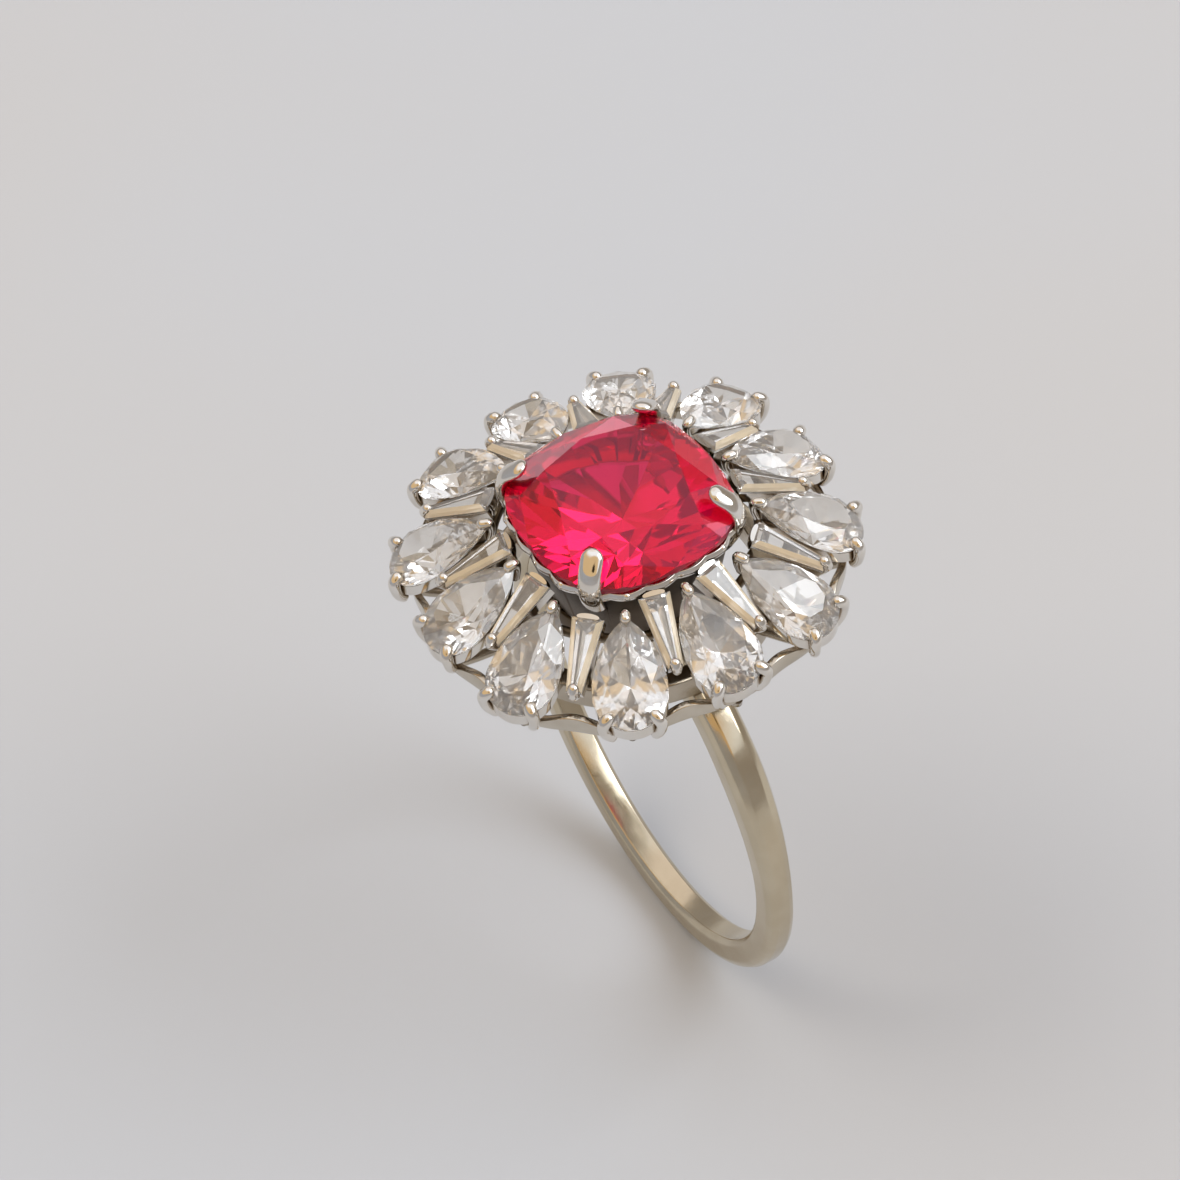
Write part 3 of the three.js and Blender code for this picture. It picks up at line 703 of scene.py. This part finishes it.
def rim_beads():
    """Two small beads on each of the cushion's four sides."""
    beads = []
    for a in turn(4):
        for offset in (-1, 1):
            b = a + offset * BEAD["angle"]
            r = cushion_radius(b) + BEAD["out"]
            centre = (r * math.cos(b), r * math.sin(b), RIM_TOP - BEAD["below_rim"])
            beads.append(ball(centre, BEAD["radius"]))
    return beads


def centre_basket():
    rim = cushion_rail([(share, RIM_TOP + z) for share, z in RIM_SECTION], SCALLOP_DEPTH)
    claws = [centre_claw(a) for a in turn(4, 45)]
    lift = Matrix.Translation((0, 0, HALO_Z))
    stone_place = Matrix.Translation((0, 0, HALO_Z + CENTRE_GIRDLE_HEIGHT))
    stone = moved(room_for("centre_stone", stone_place), stone_place)
    parts = (rim, basket_cup(), basket_foot(), *claws, *rim_beads())
    shells = [moved(part, lift) for part in parts]
    return fuse("centre_basket_metal", shells, [stone, band_shell(FIT)])


def finish_cup(mesh):
    """Below the rim, the cup's outside is dull, painted dark as shade; its inside is bright."""
    mesh.materials.append(CUP_PAINTED_SHADE_METAL)
    mesh.materials.append(CUP_MIRROR)
    below = HALO_Z + RIM_TOP - CUP["below_rim"]
    widest = CUP["upper"] + CUP["thickness"] / 2 + 0.005
    for face in mesh.polygons:
        x, y, z = face.center / MM
        if z < below and math.hypot(x, y) < widest * cushion_radius(math.atan2(y, x)):
            outward = face.normal.x * x + face.normal.y * y > 0
            # Outward faces take the painted shade, inward faces the bright mirror.
            face.material_index = 1 if outward else 2


# ---- rails and gallery --------------------------------------------------------------------------

OUTER_RAIL = {
    "radius": 8.08, "bottom": -1.4, "thickness": 0.3, "tall": 0.76, "low": 0.34,
    "dip": 0.06, "corner": 0.12, "tuck": 0.16,
}
INNER_RAIL = {"radius": 5.08, "height": 0.44, "thickness": 0.34, "tall": 0.36}
BASE_RAIL = {"radius": 5.3, "bottom": -3.0, "top": -1.95, "thickness": 0.8}
STRUT_RADIUS = 0.2


def cornerness(a):
    """1 at the halo's four corners and -1 at its sides."""
    return -math.cos(4 * a)


def baguetteness(a):
    """1 at a baguette and 0 at a pear."""
    return ((1 - math.cos(PEAR_COUNT * a)) / 2) ** 1.6


def outer_rail_radius(a):
    drawn_in = OUTER_RAIL["tuck"] * baguetteness(a)
    return OUTER_RAIL["radius"] + OUTER_RAIL["corner"] * cornerness(a) - drawn_in


def outer_rail_bottom(a):
    return OUTER_RAIL["bottom"] - OUTER_RAIL["dip"] * cornerness(a)


def outer_rail():
    """A ribbon that is tall behind each baguette and low behind each pear. It is turned at a
    working radius, then moved out to its own."""
    working = 5
    half = OUTER_RAIL["thickness"] / 2
    section = rounded([(half, -1), (half, 1), (-half, 1), (-half, -1)], 0.14)

    def follow(p):
        a = math.atan2(p.y, p.x)
        reach = math.hypot(p.x, p.y) - working + outer_rail_radius(a)
        tall = lerp(OUTER_RAIL["low"], OUTER_RAIL["tall"], baguetteness(a))
        z = HALO_Z + outer_rail_bottom(a) + (p.z + 1) / 2 * tall
        return Vector((reach * math.cos(a), reach * math.sin(a), z))

    return bend(ring_shell([(working + r, z) for r, z in section], 360), follow)


def inner_rail():
    half, tall = INNER_RAIL["thickness"] / 2, INNER_RAIL["tall"] / 2
    section = rounded([(half, -tall), (half, tall), (-half, tall), (-half, -tall)], 0.15)
    return ring_shell(
        [(INNER_RAIL["radius"] + r, HALO_Z + INNER_RAIL["height"] + z) for r, z in section], 180
    )


def gallery_base():
    """The ring that stands on the band, a brace to each pear and a post to every other baguette."""
    half, bottom, top = BASE_RAIL["thickness"] / 2, BASE_RAIL["bottom"], BASE_RAIL["top"]
    section = rounded([(half, bottom), (half, top), (-half, top), (-half, bottom)], 0.14)
    ring = ring_shell([(BASE_RAIL["radius"] + r, z) for r, z in section], 180)
    shells = [ring]

    def strut(points, a):
        bar = bent_bar([(x, 0, z) for x, z in points], plain_bar(STRUT_RADIUS), sides=16)
        return moved(bar, Matrix.Rotation(a, 4, "Z"))

    for a in turn(PEAR_COUNT):
        x = outer_rail_radius(a)
        z = outer_rail_bottom(a)
        shells.append(strut([
            (BASE_RAIL["radius"], top - 0.25), (lerp(BASE_RAIL["radius"], x, 0.65), z - 0.6),
            (x - 0.12, z - 0.34), (x, z - FIT),
        ], a))
    for a in turn(PEAR_COUNT // 2, PEAR_STEP / 2):
        end = INNER_RAIL["height"] - INNER_RAIL["tall"] / 2 - FIT
        shells.append(strut([
            (BASE_RAIL["radius"], top - 0.2), (BASE_RAIL["radius"] - 0.05, -0.7),
            (INNER_RAIL["radius"], end),
        ], a))
    lift = Matrix.Translation((0, 0, HALO_Z))
    return fuse("gallery_metal", [moved(s, lift) for s in shells], [band_shell(FIT)])


# ---- band ---------------------------------------------------------------------------------------

def band_station(angle):
    """0 at the palm, 1 at the shoulders and 2 under the head."""
    lift = math.degrees(math.asin(math.sin(angle)))
    return smoothstep(lift, -5, 38) + smoothstep(lift, 48, 72)


def along_band(sizes, angle):
    station = band_station(angle)
    if station <= 1:
        return lerp(sizes[0], sizes[1], station)
    return lerp(sizes[1], sizes[2], station - 1)


def band_shell(grow=0.0):
    """The band. Half of its section lists (share of the thickness, share of the half width)."""
    half = [(0, 0.7), (0.15, 1), (0.7, 1), (0.9, 0.8), (1, 0.42)]
    corners = half + [(t, -w) for t, w in reversed(half)]
    section = rounded([(1 + t, w) for t, w in corners], 0.07, 3)

    def follow(p):
        angle = math.atan2(p.y, p.x)
        share = math.hypot(p.x, p.y) - 1
        thickness = along_band(BAND_THICKNESS, angle) + 2 * grow
        reach = BORE_RADIUS - grow + share * thickness
        across = p.z * (along_band(BAND_WIDTH, angle) / 2 + grow)
        return Vector((reach * math.cos(angle), across, HOOP_Z + reach * math.sin(angle)))

    return bend(ring_shell(section, 288), follow)


# ---- assembly -----------------------------------------------------------------------------------

def pear_place(i):
    from_corner = (i * PEAR_STEP) % 90 - 45
    at_side = from_corner == -45
    spread = 0 if at_side else math.copysign(CORNER_SPREAD, from_corner)
    return halo_place(
        math.radians(i * PEAR_STEP + spread), SIDE_PEAR if at_side else CORNER_PEAR
    )


def baguette_place(i):
    facing = (i + 0.5) * PEAR_STEP
    spot = CORNER_BAGUETTE if facing % 90 == 45 else SIDE_BAGUETTE
    return halo_place(math.radians(facing), spot)


def pear_setting_mesh():
    room = room_for("pear_stone_01", pear_place(0))
    shells = [pear_wall(), pear_claw(1), pear_claw(-1), tip_claw()]
    return polish(fuse("pear_setting_metal", shells, [room]))


def baguette_setting_mesh():
    room = room_for("baguette_stone_01", baguette_place(0))
    claw = baguette_spine(1, BAGUETTE_CLAW["spine"])
    lip = baguette_spine(-1, BAGUETTE_LIP["spine"])
    shells = [
        baguette_walls(),
        bent_bar(claw, claw_bar(BAGUETTE_CLAW["radius"], BAGUETTE_CLAW["tip"]), sides=20),
        bent_bar(lip, plain_bar(BAGUETTE_LIP["radius"]), sides=20, flat=BAGUETTE_LIP["flat"]),
    ]
    return polish(fuse("baguette_setting_metal", shells, [room]))


def build_halo_part(kind, i, setting, place):
    """One pear or baguette of the halo: its setting, put in place, and its stone's looks."""
    number = f"{i + 1:02d}"
    mount = setting.copy()
    mount.transform(in_metres(place))
    node = f"{kind}_setting_{number}"
    add_piece(f"{kind}_mount_{number}", mount, SETTING_METAL, node)
    axis = place.to_3x3() @ Vector((0, 0, 1))
    side = place.to_3x3() @ Vector((0, 1, 0)) if kind == "baguette" else None
    dress_stone(f"{kind}_stone_{number}", CLEAR_STONE, CLEAR_GIRDLE, axis, side)


def build_ring():
    add_piece("band", polish(mesh_from(band_shell(), "band")), BAND_METAL, "shank")
    for name, mesh, material, node in (
        ("gallery", gallery_base(), CAST_METAL_AND_SHADE, "gallery_base"),
        ("inner_wire", mesh_from(inner_rail(), "inner_wire"), CAST_METAL_AND_SHADE, "inner_rail"),
        ("outer_ribbon", mesh_from(outer_rail(), "outer_ribbon"), RIBBON_METAL, "outer_rail"),
        ("basket", centre_basket(), SETTING_METAL, "centre_basket"),
    ):
        piece = add_piece(name, polish(mesh), material, node)
        if name == "basket":
            finish_cup(piece.data)
    pear_mesh, baguette_mesh = pear_setting_mesh(), baguette_setting_mesh()
    for i in range(PEAR_COUNT):
        build_halo_part("pear", i, pear_mesh, pear_place(i))
        build_halo_part("baguette", i, baguette_mesh, baguette_place(i))
    dress_stone("centre_stone", RED_STONE, RED_GIRDLE, Vector((0, 0, 1)))


# ---- studio -------------------------------------------------------------------------------------

# The camera's axes in the CAD frame, and the point it looks at.
CAMERA_BACK = Vector((0.603, -0.280, 0.747)).normalized()
CAMERA_RIGHT = Vector((0.507, 0.857, -0.089))
CAMERA_UP = CAMERA_BACK.cross(CAMERA_RIGHT).normalized()
CAMERA_DISTANCE = 252 * MM
CAMERA_SHIFT = (-1.344 * MM, -1.722 * MM)  # right and up, so that the ring sits off the middle
CAMERA_LENS, CAMERA_SENSOR = 203.0, 36.0
HEAD = Vector((0, 0, HALO_Z)) * MM


def build_camera():
    data = bpy.data.cameras.new("camera")
    data.sensor_width = CAMERA_SENSOR
    data.lens = CAMERA_LENS
    data.clip_start = 0.01
    data.clip_end = 20.0
    camera = bpy.data.objects.new("camera", data)
    right = CAMERA_UP.cross(CAMERA_BACK).normalized()
    turned = Matrix((right, CAMERA_UP, CAMERA_BACK)).transposed().to_4x4()
    spot = HEAD + CAMERA_BACK * CAMERA_DISTANCE
    spot += right * CAMERA_SHIFT[0] + CAMERA_UP * CAMERA_SHIFT[1]
    camera.matrix_world = Matrix.Translation(spot) @ turned
    bpy.context.scene.collection.objects.link(camera)
    bpy.context.scene.camera = camera


FLOOR = {"radius": 1.6, "flat_share": 0.45, "height": 0.9, "rings": 59, "sides": 96}  # metres


def floor_shell():
    """A disc that is flat under the ring and sweeps up towards its edge."""
    points, faces = [Vector((0, 0, 0))], []
    sides = FLOOR["sides"]
    for row in range(1, FLOOR["rings"] + 1):
        share = row / FLOOR["rings"]
        rise = max(0.0, share - FLOOR["flat_share"]) / (1 - FLOOR["flat_share"])
        r, z = FLOOR["radius"] * share, FLOOR["height"] * rise ** 2.2
        points += [Vector((r * math.cos(a), r * math.sin(a), z)) for a in turn(sides)]
    for k in range(sides):
        faces.append((0, 1 + k, 1 + (k + 1) % sides))
    for row in range(FLOOR["rings"] - 1):
        low, high = 1 + row * sides, 1 + (row + 1) * sides
        for k in range(sides):
            n = (k + 1) % sides
            faces.append((low + k, high + k, high + n, low + n))
    return points, faces


def build_floor():
    """The floor's far edge is swept up so that no horizon line shows."""
    points, faces = floor_shell()
    mesh = bpy.data.meshes.new("floor")
    mesh.from_pydata(points, [], faces)
    mesh.shade_smooth()
    mesh.materials.append(floor_material())
    floor = bpy.data.objects.new("floor", mesh)
    bpy.context.scene.collection.objects.link(floor)


def area_light(name, direction, distance, size, power, colour, reaches):
    """A round soft light aimed at the head. reaches lists the kinds of surface light that it
    adds to. None of the lights shows in the picture itself."""
    data = bpy.data.lights.new(name, "AREA")
    data.shape = "DISK"
    data.size = size
    data.energy = power
    data.color = colour
    light = bpy.data.objects.new(name, data)
    towards = Vector(direction).normalized()
    light.matrix_world = (
        Matrix.Translation(HEAD + towards * distance)
        @ towards.to_track_quat("Z", "Y").to_matrix().to_4x4()
    )
    light.visible_camera = False
    light.visible_diffuse = "diffuse" in reaches
    light.visible_glossy = "glossy" in reaches
    light.visible_transmission = "transmission" in reaches
    bpy.context.scene.collection.objects.link(light)
    return light


def keep_light_to(light, thing):
    """Makes a light shine on one object and nothing else."""
    lit = bpy.data.collections.new(light.name + "_lights")
    lit.objects.link(thing)
    light.light_linking.receiver_collection = lit


WARM_WALL = rgb(196, 168, 128)
COOL_WALL = rgb(228, 232, 240)
CEILING = rgb(230, 231, 235)
CEILING_DIRECTION = (-0.25, 0.25, 0.93)
TABLE_MIRROR = rgb(222, 214, 210)
CAMERA_SHADOW = rgb(46, 36, 26)
ROOM_STRENGTH = 1.4


def build_room():
    """Soft room light: cool on the right of the picture, warm on the left, and dark right behind
    the camera. Level tables mirror their own patch of the room, opposite the camera."""
    world = bpy.data.worlds.new("studio")
    world.use_nodes = True
    bpy.context.scene.world = world
    n = Nodes(world.node_tree)
    towards = n.add("ShaderNodeTexCoord").outputs["Generated"]
    sideways = n.level(n.dot(towards, tuple(CAMERA_RIGHT)), -0.35, 0.65)
    walls = n.mix(sideways, WARM_WALL, COOL_WALL)
    above = n.level(n.dot(towards, CEILING_DIRECTION), 0.62, 0.9)
    sky = n.mix(above, walls, CEILING)
    mirrored = Vector((-CAMERA_BACK.x, -CAMERA_BACK.y, CAMERA_BACK.z))
    behind = n.level(n.dot(towards, tuple(mirrored)), 0.9, 0.97)
    sky = n.mix(behind, sky, TABLE_MIRROR)
    facing = n.dot(towards, tuple(CAMERA_BACK))
    warm = n.mix(n.level(facing, 0.8, 0.93), sky, WARM_WALL)
    room = n.mix(n.level(facing, 0.985, 0.995), warm, CAMERA_SHADOW)
    background = n.add("ShaderNodeBackground", {"Color": room, "Strength": ROOM_STRENGTH})
    n.add("ShaderNodeOutputWorld", {"Surface": background.outputs[0]})


def build_lights():
    """A cool window, a warm fill, and a small card that brightens the centre stone's far edge."""
    area_light(
        "window", direction=(0.45, 0.75, 0.75), distance=0.5, size=0.36, power=1.2,
        colour=(0.92, 0.96, 1.0), reaches=("diffuse", "glossy", "transmission"),
    )
    card = area_light(
        "card", direction=(-0.959, 0.17, -0.09), distance=0.13, size=0.12, power=0.055,
        colour=(1.0, 0.98, 0.97), reaches=("glossy",),
    )
    keep_light_to(card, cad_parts["centre_stone"])
    area_light(
        "fill", direction=(-0.45, -0.45, 0.8), distance=0.6, size=0.5, power=1.6,
        colour=(1.0, 0.93, 0.83), reaches=("diffuse",),
    )


def set_look():
    """Plain colour rendering, and enough bounces for light to cross the stones."""
    scene = bpy.context.scene
    scene.view_settings.view_transform = "Standard"
    scene.cycles.max_bounces = 20
    scene.cycles.glossy_bounces = 12
    scene.cycles.transmission_bounces = 16


build_ring()
build_floor()
build_room()
build_lights()
build_camera()
set_look()
